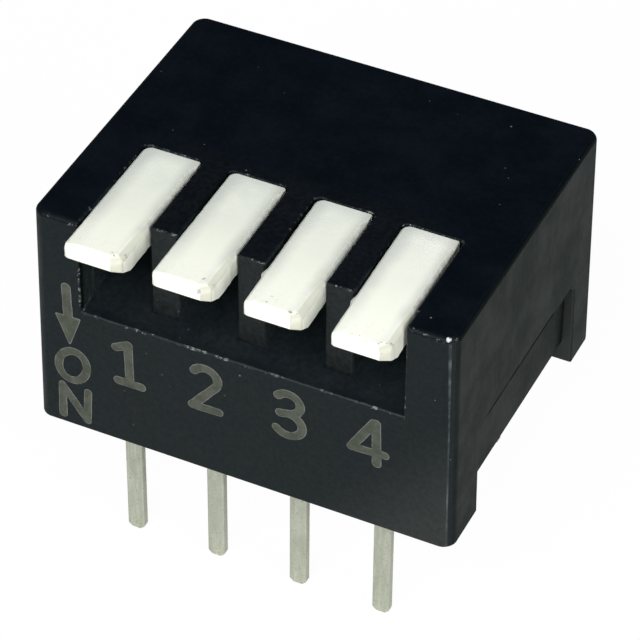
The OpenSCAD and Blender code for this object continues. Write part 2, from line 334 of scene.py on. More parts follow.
def black_plastic(name, color, roughness, at=None):
    """Near-black moulded plastic: fine grain, faint clouds and dust, with worn edges, and painted
    shade in the creases, where the mesh's attribute wear says so. Given at, the housing's places,
    it also has the marks and the painted light and shade that the housing alone has."""
    p = Paint(name)
    clouds = p.noise(0.9, 4)
    grain = p.noise(26, 2)
    mottle = p.noise(7, 4, 0.7)
    nx, _, nz = p.normal()
    base = p.blend(p.step(clouds, 0.35, 0.7), color, tuple(1.5 * c for c in color))
    base = p.blend(p.step(mottle, 0.5, 0.8, 0, 0.5), base, tuple(2.4 * c for c in color))

    # The ends are greener, with faint upright drag marks from the mould opening
    ends = p.step(nx, 0.75, 0.95)
    drag = p.noise(5, 3, 0.6, p.scaled(p.place, (0.2, 1.0, 0.06)))
    drag = p.times(p.step(drag, 0.45, 0.75), ends)
    base = p.blend(ends, base, (0.0002, 0.0020, 0.0010))
    base = p.blend(p.times(drag, 0.2), base, (0.010, 0.013, 0.011))
    tint = p.blend(ends, (0.80, 1.0, 0.97), (0.76, 1.0, 0.92))

    dust = p.maths("MAXIMUM", p.specks(1.6, 0.055, 0.24), p.specks(4.3, 0.09, 0.07))
    base = p.blend(p.times(dust, 0.8), base, (0.16, 0.165, 0.16))
    wear = p.attribute("wear")
    worn = p.times(
        wear, p.step(p.noise(5.5, 4, 0.75), 0.52, 0.64), p.step(p.noise(0.9, 2), 0.42, 0.6, 0.1, 1))
    base = p.blend(worn, base, (0.23, 0.24, 0.235))
    # Painted shade where wear is negative, in the creases at the dividers' feet; it also takes away
    # their shine
    grime = p.step(wear, -0.2, -0.8)
    base = p.blend(grime, base, (0.0008, 0.0012, 0.0014))

    # The top shines less and bluer: a painted reflection, dimmer and bluer, standing in for the
    # dark room the top reflects
    top = p.step(nz, 0.985, 0.998)
    tint = p.blend(top, tint, (0.72, 0.93, 1.12))
    shine = p.maths("SUBTRACT", p.step(nx, 0.75, 0.95, 0.3, 0.15), p.times(top, 0.07))
    shine = p.times(shine, p.step(mottle, 0.3, 0.7, 0.86, 1.14), p.step(grime, 0, 1, 1, 0.1))
    if at:
        base = paint_recess(p, base, mottle, top, at)
        base, shine = paint_front(p, base, shine, mottle, at)
        base, shine = paint_ends(p, base, shine, at)

    rough = p.step(clouds, 0.3, 0.7, roughness - 0.06, roughness + 0.06)
    p.bump((grain, 0.0022), (mottle, 0.0025), (drag, 0.002), (worn, 0.008))
    return p.set(Base_Color=base, Roughness=rough, Specular_IOR_Level=shine, Specular_Tint=tint)


def paint_recess(p, base, mottle, top, at):
    """The recess's floor, uprights and ends, painted lighter as painted light thrown on them by the
    white levers, and the greyer top between the slots.
    """
    x, y, _ = p.split(p.place)
    nx, ny, nz = p.normal()
    side = p.maths("ABSOLUTE", x)
    behind = p.maths("SUBTRACT", y, at.front_y)
    recess = p.times(
        p.step(behind, 0.12, 0.35), p.step(behind, 2.0, 1.7), p.step(nz, 0.995, 0.985),
        p.step(side, at.end_x - 0.92, at.end_x - 1.22), p.step(mottle, 0.35, 0.7, 0.3, 1))
    # Painted light: floor, uprights and ends are each a lighter copy of the plastic, by which way
    # they face
    floor, upright, end = (0.0044, 0.0068, 0.0088), (0.0100, 0.0108, 0.0108), (0.024, 0.030, 0.033)
    inside = p.blend(p.step(ny, 0.6, 0.9), floor, upright)
    inside = p.blend(p.step(nx, 0.8, 0.95), inside, end)
    base = p.blend(recess, base, inside)

    between = p.times(
        top, p.step(behind, 4.6, 3.6), p.step(side, at.slots_x + 0.2, at.slots_x - 0.2),
        p.step(mottle, 0.4, 0.65, 0.25, 1), 0.7)
    return p.blend(between, base, (0.0065, 0.0070, 0.0065))


def paint_front(p, base, shine, mottle, at):
    """A painted sheen on the lower right of the front, the scuffs and a nick on its rounded upper
    edge, and a thin paler line down its right corner."""
    x, y, z = p.split(p.place)
    nx, ny, nz = p.normal()
    behind = p.maths("SUBTRACT", y, at.front_y)
    # Painted sheen: the front is lighter towards its lower right
    rubbed = p.times(
        p.step(p.maths("SUBTRACT", x, p.times(z, 0.9)), 1.5, 5.5), p.step(behind, 0.12, 0.06),
        p.step(mottle, 0.3, 0.7, 0.75, 1))
    base = p.blend(rubbed, base, (0.018, 0.019, 0.018))

    round_edge = p.times(
        p.step(nz, 0.15, 0.4), p.step(nz, 0.98, 0.9), p.step(z, at.top_z - 0.46, at.top_z - 0.26))
    right_end = p.step(x, at.end_x - 1.52, at.end_x - 1.22)
    scuffs = p.times(
        round_edge, p.step(ny, 0.2, 0.45), p.step(p.noise(6, 4, 0.75), 0.57, 0.66),
        p.maths("MAXIMUM", p.step(p.noise(1.1, 2), 0.5, 0.6), right_end))
    base = p.blend(scuffs, base, (0.20, 0.21, 0.20))
    shine = p.times(shine, p.step(round_edge, 0, 1, 1, 0.45))
    nick = (at.end_x - 0.365, at.front_y + 0.12, at.top_z - 0.02)
    away = p.vector_maths("DISTANCE", p.place, nick)
    ragged = p.maths("ADD", away, p.times(p.noise(13, 2), 0.12))
    base = p.blend(p.step(ragged, 0.135, 0.10), base, (0.50, 0.51, 0.50))

    # A thin paler line down the right front corner's rounding, where its normal turns about 35
    # degrees from the front
    line = p.times(
        p.near(nx, 0.57, 0.07, 0.03), p.step(nz, 0.3, 0.1), p.step(behind, 0.3, 0.2),
        p.step(x, at.end_x - 0.72, at.end_x - 0.62),
        p.step(p.noise(1.3, 3, 0.7), 0.42, 0.66, 0.2, 1))
    return p.blend(line, base, (0.062, 0.067, 0.065)), shine


def paint_ends(p, base, shine, at):
    """Painted light on the sides of the corner posts in the end cuts, and a painted shadow in the
    joint above the base's ends."""
    x, y, z = p.split(p.place)
    _, ny, _ = p.normal()
    side = p.maths("ABSOLUTE", x)
    # Painted light: the sides of the corner posts in the end cuts, lighter than their shade
    posts = p.times(
        p.step(ny, 0.8, 0.95), p.step(z, at.cut_z - 0.1, at.cut_z - 0.4),
        p.step(side, at.end_x - 0.72, at.end_x - 0.52), p.step(p.maths("ABSOLUTE", y), 4.0, 3.8))
    base = p.blend(posts, base, (0.020, 0.022, 0.021))
    # Painted shadow under the cut's overhang, in the joint above the base's ends, which also loses
    # its shine
    joint = p.times(
        p.near(z, at.cut_z + 0.08, 0.06, 0.03), p.near(y, -0.4, 2.7, 2.1),
        p.step(side, at.end_x - 0.32, at.end_x - 0.22),
        p.step(p.noise(2.5, 3, 0.7), 0.3, 0.5, 0.55, 1))
    shine = p.times(shine, p.step(joint, 0, 1, 1, 0.05))
    return p.blend(joint, base, (0.0002, 0.0004, 0.0004)), shine


def lever_plastic(name, nose, look):
    """Warm white plastic with a satin skin, with painted shade greyer towards the rear and darker
    along its long edges and the nose's right side, and painted light whiter towards the nose, with
    dirt on the nose. Places count from the middle of the nose's upper edge."""
    p = Paint(name)
    seed = look["seed"]
    own = p.moved(p.place, (7.3 * seed - nose.x, 3.1 * seed, 5.7 * seed))
    x, y, z = p.split(p.moved(p.place, tuple(-nose)))
    nx, ny, nz = p.normal()
    clouds = p.noise(1.1, 3, 0.5, own)
    grain = p.noise(30, 2, 0.5, own)
    ripple = p.noise(6, 3, 0.6, own)

    # Along the lever, painted light and shade: greyer towards the rear, whiter towards the nose,
    # and darker where it enters its slot
    base = p.blend(p.step(y, 1.0, 5.0), (0.865, 0.88, 0.755), (0.70, 0.73, 0.655))
    base = p.blend(p.step(clouds, 0.35, 0.65, 0, 0.5), base, (0.83, 0.845, 0.725))
    clean = p.step(y, 2.8, 0.4, look["clean"], look["clean"] + 0.5)
    base = p.blend(clean, base, (0.985, 0.99, 0.87))
    base = p.blend(p.step(y, 4.2, 4.75, 0, 0.6), base, (0.56, 0.59, 0.545))

    # Across it: painted shade towards both long edges
    wavy = p.maths("ADD", x, p.times(clouds, 0.25))
    left = p.times(p.step(wavy, -0.10, -0.68), p.step(y, 0.4, 2.2, 0.25, 1), 0.8)
    base = p.blend(left, base, (0.50, 0.52, 0.48))
    right = p.times(
        p.step(wavy, 0.50, 0.96), p.step(y, 0.9, 1.7, 0.4, 1), p.step(nz, 0.3, 0.7), 0.87)
    base = p.blend(right, base, (0.48, 0.49, 0.43))

    # The nose's right side in painted shade, and its rounding to the top and its facet painted a
    # darker warm grey
    near = p.times(p.step(x, 0.3, 0.45), p.step(y, 1.8, 1.4))
    dull = p.times(near, p.step(nx, 0.8, 0.95), look["dull"])
    base = p.blend(dull, base, (0.50, 0.50, 0.42))
    rounding = p.times(near, p.step(nx, 0.1, 0.45), p.step(nx, 0.999, 0.96), 0.8)
    base = p.blend(rounding, base, (0.53, 0.53, 0.435))
    facet = p.times(near, p.step(nx, 0.3, 0.5), p.step(ny, 0.02, 0.4))
    base = p.blend(facet, base, (0.50, 0.50, 0.41))

    # Painted shade along the right edge where it runs in the slot
    edge = p.times(
        p.step(nx, 0.1, 0.5), p.step(x, 0.5, 0.6), p.step(y, 1.3, 1.9),
        p.step(p.noise(5, 3, 0.6, own), 0.35, 0.6, 0.35, 0.85))
    base = p.blend(edge, base, (0.36, 0.365, 0.33))

    # Handling dirt: faint over the nose, dark specks in its right-hand corner, a few elsewhere
    tip = p.step(y, 1.2, 0.2)
    base = p.blend(p.times(tip, p.step(ripple, 0.5, 0.75), 0.2), base, (0.60, 0.58, 0.48))
    corner = p.times(
        p.near(x, 0.66, 0.2, 0.1), p.near(y, 0.25, 0.34, 0.2), p.near(z, -0.06, 0.2, 0.1))
    specks = p.times(corner, p.step(p.noise(5.5, 2, 0.5, own), 0.62, 0.67), 0.7)
    base = p.blend(specks, base, (0.16, 0.16, 0.13))
    stray = p.times(tip, p.step(p.noise(9, 1, 0.5, own), 0.71, 0.76), 0.5)
    base = p.blend(stray, base, (0.30, 0.29, 0.24))

    rough = p.step(clouds, 0.3, 0.7, 0.42, 0.55)
    p.bump((grain, 0.0012), (ripple, 0.004))
    return p.set(Base_Color=base, Roughness=rough, Specular_IOR_Level=0.4)


def tin(name):
    """Matte tin plate with draw marks along the pins and dull spots."""
    p = Paint(name)
    drawn = p.noise(9, 3, 0.6, p.scaled(p.place, (1.0, 1.0, 0.12)))
    spots = p.noise(12, 3, 0.7)
    base = p.blend(p.step(drawn, 0.4, 0.7), (0.56, 0.575, 0.465), (0.66, 0.67, 0.555))
    base = p.blend(p.step(spots, 0.55, 0.72, 0, 0.6), base, (0.30, 0.305, 0.25))
    blots = p.noise(2.6, 3, 0.6, p.scaled(p.place, (1.0, 1.0, 0.5)))
    base = p.blend(p.step(blots, 0.5, 0.7, 0, 0.35), base, (0.40, 0.405, 0.33))
    rough = p.step(spots, 0.4, 0.7, 0.38, 0.6)
    p.bump((drawn, 0.004), (spots, 0.005))
    return p.set(Base_Color=base, Roughness=rough, Metallic=0.85)


def gold(name):
    """Gold plate, rolled lengthwise."""
    p = Paint(name)
    rolled = p.noise(10, 3, 0.6, p.scaled(p.place, (1.0, 0.15, 1.0)))
    base = p.blend(p.step(rolled, 0.35, 0.7), (0.80, 0.62, 0.26), (0.88, 0.72, 0.36))
    p.bump((rolled, 0.003))
    return p.set(Base_Color=base, Roughness=p.step(rolled, 0.3, 0.7, 0.22, 0.36), Metallic=1.0)


def nylon(name):
    """Natural nylon."""
    p = Paint(name)
    clouds = p.noise(1.5, 3)
    grain = p.noise(24, 2)
    base = p.blend(p.step(clouds, 0.35, 0.65), (0.74, 0.72, 0.62), (0.80, 0.78, 0.69))
    p.bump((grain, 0.004))
    return p.set(Base_Color=base, Roughness=p.step(clouds, 0.3, 0.7, 0.45, 0.58))


def marking(name):
    """Grey mark with a lighter rim, where the mesh's attribute rim runs up to one."""
    p = Paint(name)
    clouds = p.noise(4, 4, 0.7)
    grain = p.noise(24, 2, 0.6)
    base = p.blend(p.step(clouds, 0.35, 0.65), (0.038, 0.044, 0.031), (0.062, 0.068, 0.053))
    rim = p.times(p.step(p.attribute("rim"), 0.2, 0.9), p.step(clouds, 0.3, 0.6, 0.5, 1))
    base = p.blend(rim, base, (0.125, 0.130, 0.118))
    base = p.blend(p.step(grain, 0.6, 0.75, 0, 0.35), base, (0.03, 0.033, 0.028))
    p.bump((grain, 0.006), (clouds, 0.004))
    return p.set(Base_Color=base, Roughness=p.step(clouds, 0.3, 0.7, 0.6, 0.75),
                 Specular_IOR_Level=0.3)


# ---------------------------------------------------------------- housing and base

def mark_wear(places):
    """Writes the attribute wear on the rounded edges: places is a list of (test, amount), where
    the first test that holds counts and a negative amount stands for painted shade."""
    def write(mesh):
        values = []
        for face in mesh.polygons:
            wear = 0.0
            if face.material_index == ROUNDED:
                wear = next((amount for test, amount in places if test(face.center)), 0.0)
            values.append(wear)
        mesh.attributes.new("wear", "FLOAT", "FACE").data.foreach_set("value", values)
    return write


def measure_housing():
    """Places on the housing that its paint and its wear follow, read off the CAD mesh."""
    low, high = millimetre_box("housing")
    lever_low, lever_high = millimetre_box(LEVERS[-1])
    work = cad_mesh("housing")
    outside = outside_faces(work)
    front = max((f for f in outside if f.normal.y < -0.99), key=lambda f: f.calc_area())
    # Edge of the front above the numbers, and the recess's ends at the front
    lip_z = min(v.co.z for v in front.verts if abs(v.co.x) < high.x - 1 and v.co.z > 1)
    recess_x = min(abs(v.co.x) for v in front.verts if v.co.z > lip_z + 0.5)
    # Front faces of the dividers: the nearest upright faces behind the front, and their feet
    dividers_y = min(
        f.calc_center_median().y for f in work.faces
        if f.normal.y < -0.999 and f not in outside and f.calc_center_median().z > lip_z + 0.3)
    foot_z = min(v.co.z for v in work.verts
                 if abs(v.co.y - dividers_y) < 0.01 and v.co.z > lip_z - 0.5)
    # Top of the cuts in the ends
    cut_z = max(v.co.z for f in work.faces if f.normal.z < -0.99 for v in f.verts
                if abs(v.co.x) > high.x - 0.3)
    work.free()
    return SimpleNamespace(
        front_y=low.y, top_z=high.z, end_x=high.x, slots_x=(lever_low.x + lever_high.x) / 2,
        lip_z=lip_z, recess_x=recess_x, dividers_y=dividers_y, foot_z=foot_z, cut_z=cut_z)


def add_housing(at):
    work = cad_mesh("housing")
    outside = outside_faces(work)

    def chosen(edge):
        """The outside edges, and the upper ones in and round the recess."""
        if any(face in outside for face in edge.link_faces):
            return True
        middle = (edge.verts[0].co + edge.verts[1].co) / 2
        return middle.y < at.dividers_y + 1 and middle.z > at.lip_z - 0.01

    weigh_edges(work, chosen, HOUSING_EDGE)
    wear = mark_wear([
        # The lip of the recess, worn by the levers and by handling
        (lambda c: c.y < at.front_y + 0.2 and abs(c.z - at.lip_z) < 0.15, 0.6),
        # Painted shade in the creases along the dividers' feet
        (lambda c: -0.1 < c.y - at.dividers_y < 0.03 and abs(c.z - at.foot_z) < 0.07, -1),
        # The dividers' upper front edges, then their other front edges
        (lambda c: abs(c.y - at.dividers_y) < 0.1 and c.z > at.top_z - 0.1, 3.0),
        (lambda c: abs(c.y - at.dividers_y) < 0.1, 0.3),
        # The top's edges
        (lambda c: c.z > at.top_z - 0.1, 0.2),
        # The edges of the recess's ends, then its other edges
        (lambda c: c.y < at.dividers_y and c.z > at.lip_z and abs(c.x) > at.recess_x - 0.1, 0.9),
        (lambda c: c.y < at.dividers_y and c.z > at.lip_z, 0.06),
        # The feet that stand on the board, then everything else
        (lambda c: c.z < 0.1, 0.35),
        (lambda c: True, 0.15),
    ])
    plastic = black_plastic("housing_plastic", (0.0010, 0.0018, 0.0030), 0.5, at)
    add_piece("housing_shell", work, "body", "housing_plastic", plastic, ("housing",),
              HOUSING_EDGE, wear)


def add_base():
    work = cad_mesh("base")
    outside = outside_faces(work)
    weigh_edges(work, lambda edge: any(face in outside for face in edge.link_faces), BASE_EDGE)
    plastic = black_plastic("base_plastic", (0.0014, 0.0022, 0.0032), 0.52)
    add_piece("base_block", work, "body", "base_plastic", plastic, ("base",), BASE_EDGE,
              mark_wear([(lambda c: True, 0.15)]))


# ---------------------------------------------------------------- levers

# Each lever's own look, in millimetres:
#   seed         makes its noises its own
#   clean, dull  shares of painted light on its nose and of painted shade on the nose's right side
#   facet        how far the facet on its nose's right corner reaches across and back
#   round        radius of its nose's left corner
#   rear         radii of its rear corners, right and left
#   shy, dip     how far its nose stays short of the CAD's, and how far it hangs
#   nose, edge   radii of its upper edge, at the nose and along the left side
#   left, right  how far each side lies to the right of its place, at the rear and at the nose
#   flash        how far the flash on its left side stands out, and its place behind the nose
LEVER_LOOKS = [
    {"seed": 1, "clean": -0.1, "dull": 0.0, "facet": (0.25, 0.23), "round": 0.22,
     "rear": (0.06, 0.27), "shy": 0.02, "dip": 0.0, "nose": 0.26, "edge": 0.10,
     "left": (-0.03, -0.04), "right": (0.0, 0.0), "flash": (0.0, 1.4)},
    {"seed": 2, "clean": 0.0, "dull": 0.0, "facet": (0.22, 0.23), "round": 0.23,
     "rear": (0.07, 0.24), "shy": 0.0, "dip": 0.0, "nose": 0.25, "edge": 0.09,
     "left": (0.0, 0.0), "right": (-0.01, 0.05), "flash": (0.0, 1.4)},
    {"seed": 3, "clean": 0.15, "dull": 0.15, "facet": (0.24, 0.25), "round": 0.22,
     "rear": (0.06, 0.29), "shy": 0.0, "dip": 0.0, "nose": 0.27, "edge": 0.11,
     "left": (0.0, 0.10), "right": (-0.03, 0.07), "flash": (0.08, 1.42)},
    {"seed": 4, "clean": 0.3, "dull": 0.55, "facet": (0.23, 0.30), "round": 0.20,
     "rear": (0.05, 0.26), "shy": -0.03, "dip": 0.08, "nose": 0.25, "edge": 0.10,
     "left": (-0.03, 0.05), "right": (-0.07, 0.04), "flash": (0.07, 1.48)},
]
# Steps of each rounding, and the widest gap between points along a straight side
ARC_STEPS = 6
SIDE_GAP = 0.08


def plan_outline(corners):
    """Points round a polygon with rounded corners (x, y, radius), counterclockwise. Each point is
    (place, out, way, radius): out points outward, and a corner's points also know the way that
    the corner moves per millimetre of inset, and its radius."""
    outline = []
    ahead = corners[1:] + corners[:1]
    behind = corners[-1:] + corners[:-1]
    sides = []
    for (x, y, radius), before, after in zip(corners, behind, ahead):
        here = Vector((x, y))
        arrive = (here - Vector(before[:2])).normalized()
        leave = (Vector(after[:2]) - here).normalized()
        start = math.atan2(-arrive.x, arrive.y)
        turn = arrive.angle(leave)
        middle = start + turn / 2
        way = -Vector((math.cos(middle), math.sin(middle))) / math.cos(turn / 2)
        angles = [start + turn * k / ARC_STEPS for k in range(ARC_STEPS + 1)]
        sides.append([(here, Vector((math.cos(a), math.sin(a))), way, radius) for a in angles])
    for arc, following in zip(sides, sides[1:] + sides[:1]):
        outline += arc
        out = arc[-1][1]
        start, end = inset_point(arc[-1], 0), inset_point(following[0], 0)
        count = max(1, round((end - start).length / SIDE_GAP))
        outline += [(start.lerp(end, k / count), out, None, 0) for k in range(1, count)]
    return outline


def inset_point(entry, inset):
    """Where a point of an outline lies when the outline is drawn in. A corner stays sharp once
    the inset has used up its radius."""
    place, out, way, radius = entry
    if way is None:
        return place - inset * out
    left = max(radius - inset, 0.004)
    return place + (inset + left) * way + left * out


def measure_lever(node, look):
    """Places on the CAD lever's plate: half its width, and where its parts lie in the frame."""
    low, high = millimetre_box(node)
    cad = cad_mesh(node)
    top = [v.co for v in cad.verts if v.co.z > high.z - 0.01]
    middle = (low.x + high.x) / 2
    # The plate's underside, which the slope under the nose meets
    under = next(f for f in cad.faces
                 if f.normal.z < -0.999 and f.calc_center_median().z > (low.z + high.z) / 2
                 and min(v.co.y for v in f.verts) < low.y + 1)
    at = SimpleNamespace(
        middle=middle, half=max(p.x for p in top) - middle, rear=max(p.y for p in top),
        nose_y=low.y, front=low.y + look["shy"], top_z=high.z,
        nose_z=min(v.co.z for v in cad.verts if v.co.y < low.y + 0.01),
        under_z=under.calc_center_median().z, slope_y=min(v.co.y for v in under.verts))
    cad.free()
    return at


def plate_outline(at, look):
    """The plate's outline, with a pair of points right where the slope under the nose ends, so
    that the underside stays flat."""
    across, back = look["facet"]
    facet_front_r, facet_rear_r = 0.03, 0.16
    right_r, left_r = look["rear"]
    outline = plan_outline([
        (at.half - across, at.front, facet_front_r), (at.half, at.front + back, facet_rear_r),
        (at.half, at.rear, right_r), (-at.half, at.rear, left_r),
        (-at.half, at.front, look["round"]),
    ])
    for side in (-1, 1):
        end = Vector((side * at.half, at.slope_y))
        spot = min((k for k in range(len(outline)) if outline[k][2] is None),
                   key=lambda k: (outline[k][0] - end).length)
        outline[spot] = (Vector((outline[spot][0].x, at.slope_y)), *outline[spot][1:])
    return outline


def upper_radius(at, look, point, out):
    """Radius of the plate's upper edge: soft along both sides, more so at the nose's right, and
    crisp at the rear and at the rear right corner."""
    crisp_r = 0.045
    side_r = look["edge"] * (1.35 if out.x > 0 else 1)
    if out.x > 0:
        side_r += 0.09 * smooth((at.front + 1.9 - point.y) / 1.2)
    crisp = smooth((point.y - at.rear + 0.5) / 0.3) if out.x > -0.5 else max(0, out.y)
    side_r += (crisp_r - side_r) * crisp
    return side_r + (look["nose"] - side_r) * facing_front(out)


def facing_front(out):
    """One where the outline faces the front, down to nothing on its sides and its rear."""
    return max(0, -out.y) ** 2


def swelling(at, look, point, out):
    """How far a side stands out at a point: uneven, with flash on the left behind the nose."""
    seed = look["seed"]
    swell = -0.030 * abs(noise.noise(Vector((out.x, 2.2 * point.y, seed))))
    swell += 0.012 * noise.noise(Vector((out.x, 6.1 * point.y, seed)))
    if out.x < 0:
        size, place = look["flash"]
        swell += size * smooth(1 - abs(point.y - at.nose_y - place) / 0.24)
    return swell


def plate_rings(at, look, outline):
    """Rings of points from the plate's flat top down its rounded edge and side to its underside."""
    def under_at(y):
        slope = (at.under_z - at.nose_z) / (at.slope_y - at.nose_y)
        return at.under_z if y >= at.slope_y else at.nose_z + slope * (y - at.nose_y)

    levels = [("top", 90 * (1 - k / ARC_STEPS)) for k in range(ARC_STEPS)]
    levels += [("side", 0)] + [("foot", 90 * k / ARC_STEPS) for k in range(ARC_STEPS + 1)]
    rings = []
    for part, angle in levels:
        turn = math.radians(angle)
        ring = []
        for entry in outline:
            point, out = inset_point(entry, 0), entry[1]
            top_r = upper_radius(at, look, point, out)
            foot_r = 0.035 + 0.03 * facing_front(out)
            if part == "foot":
                spot = inset_point(entry, foot_r * (1 - math.cos(turn)))
                z = under_at(spot.y) + foot_r * (1 - math.sin(turn))
            else:
                spot = inset_point(entry, top_r * (1 - math.cos(turn)))
                z = at.top_z - top_r * (1 - math.sin(turn))
            if abs(out.x) > 0.9:
                share = 1 - math.sin(turn) if part == "top" else 1
                spot = spot + share * swelling(at, look, point, out) * out
            along = (at.rear - spot.y) / (at.rear - at.front)
            left, right = (a + (b - a) * along for a, b in (look["left"], look["right"]))
            shift = left + (right - left) * (spot.x / at.half + 1) / 2
            ring.append(Vector((at.middle + spot.x + shift, spot.y, z - look["dip"] * along ** 2)))
        rings.append(ring)
    return rings


def lever_plate(at, look):
    """The visible plate of a lever: round nose, soft long edges, crisp rear right corner, and the
    slope under the nose."""
    outline = plate_outline(at, look)
    plate = bmesh.new()
    rings = [[plate.verts.new(p) for p in ring] for ring in plate_rings(at, look, outline)]
    plate.faces.new(rings[0])
    for upper, lower in zip(rings, rings[1:]):
        for k in range(len(upper)):
            j = (k + 1) % len(upper)
            plate.faces.new((upper[k], lower[k], lower[j], upper[j]))
    # Underside in two flat faces that meet where the slope ends
    last = rings[-1]
    ends = [k for k in range(len(last))
            if outline[k][2] is None and abs(outline[k][0].y - at.slope_y) < 1e-6]
    first, second = ends[0], ends[-1]
    flat = last[first:second + 1]
    sloping = last[second:] + last[:first + 1]
    plate.faces.new(flat[::-1])
    plate.faces.new(sloping[::-1])
    bmesh.ops.recalc_face_normals(plate, faces=plate.faces)
    return plate


def lever_works(node, cut_z):
    """The CAD lever below its plate, with a stub that reaches up into the new plate."""
    below, inset, stub = 0.002, 0.012, 0.3
    work = cad_mesh(node)
    found = bmesh.ops.bisect_plane(
        work, geom=work.verts[:] + work.edges[:] + work.faces[:], dist=1e-5,
        plane_co=(0, 0, cut_z - below), plane_no=(0, 0, 1), clear_outer=True)
    rim = [e for e in found["geom_cut"] if isinstance(e, bmesh.types.BMEdge)]
    cap = bmesh.ops.contextual_create(work, geom=rim)["faces"]
    bmesh.ops.inset_region(work, faces=cap, thickness=inset, use_even_offset=True)
    raised = bmesh.ops.extrude_face_region(work, geom=cap)
    corners = [v for v in raised["geom"] if isinstance(v, bmesh.types.BMVert)]
    bmesh.ops.translate(work, vec=(0, 0, stub), verts=corners)
    bmesh.ops.delete(work, geom=cap, context="FACES_ONLY")
    bmesh.ops.recalc_face_normals(work, faces=work.faces)
    return work


def joined(first, second):
    """One solid from two that overlap, all in millimetres."""
    halves = []
    for work in (first, second):
        mesh = bpy.data.meshes.new("half")
        work.to_mesh(mesh)
        work.free()
        half = bpy.data.objects.new("half", mesh)
        bpy.context.scene.collection.objects.link(half)
        halves.append(half)
    union = halves[0].modifiers.new("union", "BOOLEAN")
    union.operation = "UNION"
    union.solver = "EXACT"
    union.object = halves[1]
    bpy.context.view_layer.update()
    graph = bpy.context.evaluated_depsgraph_get()
    whole = bmesh.new()
    whole.from_object(halves[0], graph)
    for half in halves:
        mesh = half.data
        bpy.data.objects.remove(half)
        bpy.data.meshes.remove(mesh)
    return whole


def add_levers():
    for node, look in zip(LEVERS, LEVER_LOOKS):
        number = node[-1]
        at = measure_lever(node, look)
        plastic = lever_plastic(
            "lever_plastic_" + number, Vector((at.middle, at.nose_y, at.top_z)), look)
        work = joined(lever_plate(at, look), lever_works(node, at.under_z))
        add_piece("lever_moulding_" + number, work, node, "lever_plastic", plastic, (node,))


# ---------------------------------------------------------------- small parts

def add_pins():
    """The terminals, with their edges eased."""
    plate = tin("terminal_metal")
    for node in sorted(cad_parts):
        if "terminal" in node:
            work = cad_mesh(node)
            weigh_edges(work, lambda edge: True, PIN_EDGE)
            add_piece(node.replace("terminal", "pin"), work, "body", "terminal_metal", plate,
                      (node,), PIN_EDGE)


def dress_inner_parts():
    """Materials for the sliders and contacts, which keep the CAD's shapes."""
    for start, material in (("slider_", nylon("slider_plastic")),
                            ("moving_contact_", gold("contact_metal"))):
        for node in sorted(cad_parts):
            if node.startswith(start):
                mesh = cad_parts[node].data
                mesh.materials.clear()
                mesh.materials.append(material)


# ---------------------------------------------------------------- markings

# Width of the markings' paler rim, how far they stand out of the front, and how deep they start
RIM = 0.045
RAISED = 0.008
BURIED = 0.012
# Gap between points along a stroke, and how far it may turn at one point and in one run
STROKE_GAP = 0.12
SHARP_TURN = math.radians(35)
LONG_TURN = math.radians(150)


def bow(x, z, rx, rz, start, end, lean=0.0):
    """Points on part of an ellipse, from one angle in degrees to another."""
    count = max(4, round(abs(end - start) / 15))
    turns = [math.radians(start + (end - start) * k / count) for k in range(count + 1)]
    return [(x + rx * math.cos(t) + lean * math.sin(t), z + rz * math.sin(t)) for t in turns]


# Strokes on the front as (x, z), with z counted from the board. x counts from the middle of the
# number's lever, and from the housing's left end for the word ON, the arrow's shaft and its head
NUMBERS = [
    [[(0.10, 3.37), (0.48, 3.57), (0.50, 2.22)], [(0.14, 2.21), (0.85, 2.21)]],
    [bow(0.24, 3.28, 0.38, 0.36, 150, -35) + [(-0.15, 2.22), (0.65, 2.23)]],
    [bow(0.15, 3.36, 0.36, 0.34, 145, -80) + [(-0.09, 2.96)],
     bow(0.15, 2.62, 0.42, 0.38, 80, -145)],
    [[(0.16, 3.67), (0.20, 2.27)], [(0.09, 3.66), (-0.54, 2.60), (0.43, 2.64)]],
]
LETTER_O = bow(1.165, 2.18, 0.43, 0.53, 0, 360, 0.06)
LETTER_N = [(0.795, 0.31), (0.815, 1.38), (1.545, 0.33), (1.605, 1.37)]
ARROW_SHAFT = [(1.065, 4.93), (1.095, 3.90)]
ARROW_HEAD = [(0.685, 3.92), (1.105, 2.86), (1.485, 3.95)]
NUMBER_W, LETTER_O_W, LETTER_N_W, ARROW_W = 0.27, 0.26, 0.25, 0.29


def shifted(points, x):
    return [(x + a, z) for a, z in points]


def front_strokes():
    """Every stroke on the front as its width and its points, and the arrow head's corners."""
    strokes = []
    for node, number in zip(LEVERS, NUMBERS):
        low, high = millimetre_box(node)
        strokes += [(NUMBER_W, shifted(points, (low.x + high.x) / 2)) for points in number]
    left_end = millimetre_box("housing")[0].x
    for width, points in ((LETTER_O_W, LETTER_O), (LETTER_N_W, LETTER_N), (ARROW_W, ARROW_SHAFT)):
        strokes.append((width, shifted(points, left_end)))
    return strokes, shifted(ARROW_HEAD, left_end)


def stroke_reach(point, half):
    """Half the width of a stroke at a point: never quite even."""
    return half + 0.012 * noise.noise(Vector((6 * point.x, 6 * point.y, 0.5)))


def stroke_runs(points):
    """Cuts a stroke's close-set points into runs without sharp turns or closed loops."""
    dense = []
    for a, b in zip(points, points[1:]):
        count = max(1, round(math.dist(a, b) / STROKE_GAP))
        dense += [Vector(a).lerp(Vector(b), k / count) for k in range(count)]
    dense.append(Vector(points[-1]))
    runs, run, turned = [], dense[:2], 0
    for before, here, after in zip(dense, dense[1:], dense[2:]):
        turn = abs((here - before).angle_signed(after - here))
        turned += turn
        if turn > SHARP_TURN or turned > LONG_TURN:
            runs.append(run)
            run, turned = [here], 0
        run.append(after)
    return runs + [run]


